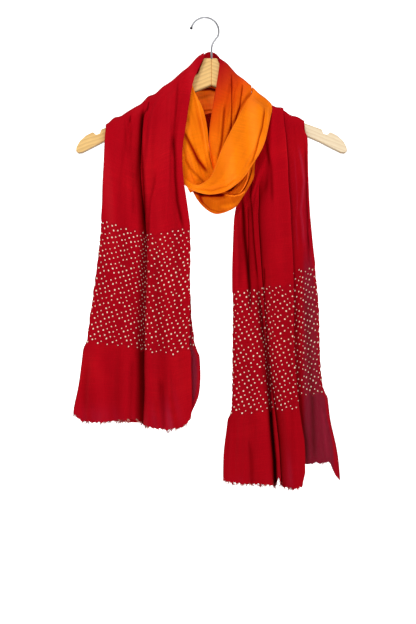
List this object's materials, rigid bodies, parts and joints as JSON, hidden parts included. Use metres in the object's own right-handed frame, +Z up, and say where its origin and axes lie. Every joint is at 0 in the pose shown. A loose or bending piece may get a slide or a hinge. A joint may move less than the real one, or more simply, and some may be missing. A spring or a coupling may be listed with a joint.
{
  "type": "tie-dye scarf on wooden hanger",
  "caption": "Long soft tie-dye scarf with dotted borders, wound into a loop over a wooden clothes hanger with a wire hook, both ends hanging.",
  "frame": {"origin": "inner top of the hanger's wire hook, where the rail carries it", "axes": "+Z up along the hanging scarf's length, +Y away from the viewer through the cloth's thickness, +X to the viewer's right along the hanger"},
  "size_m": [0.445, 0.073, 0.7761],
  "materials": {
    "pine": "pale, lightly varnished",
    "chrome_wire": "bright plated wire",
    "red_cloth": "soft, slightly lustrous red weave with dyed dots",
    "orange_cloth": "soft, slightly lustrous orange weave"
  },
  "bodies": {
    "root": {"hanger_arm_left": "pine", "hanger_arm_right": "pine", "hanger_hook": "chrome_wire", "tail_left": "red_cloth", "tail_right": "red_cloth", "turn_one_right": "red_cloth", "turn_two_right": "orange_cloth", "loop_left": "orange_cloth", "loop_foot": "orange_cloth", "neck_band_upper": "red_cloth", "neck_band_middle": "orange_cloth", "neck_band_lower": "orange_cloth"}
  },
  "joints": []
}
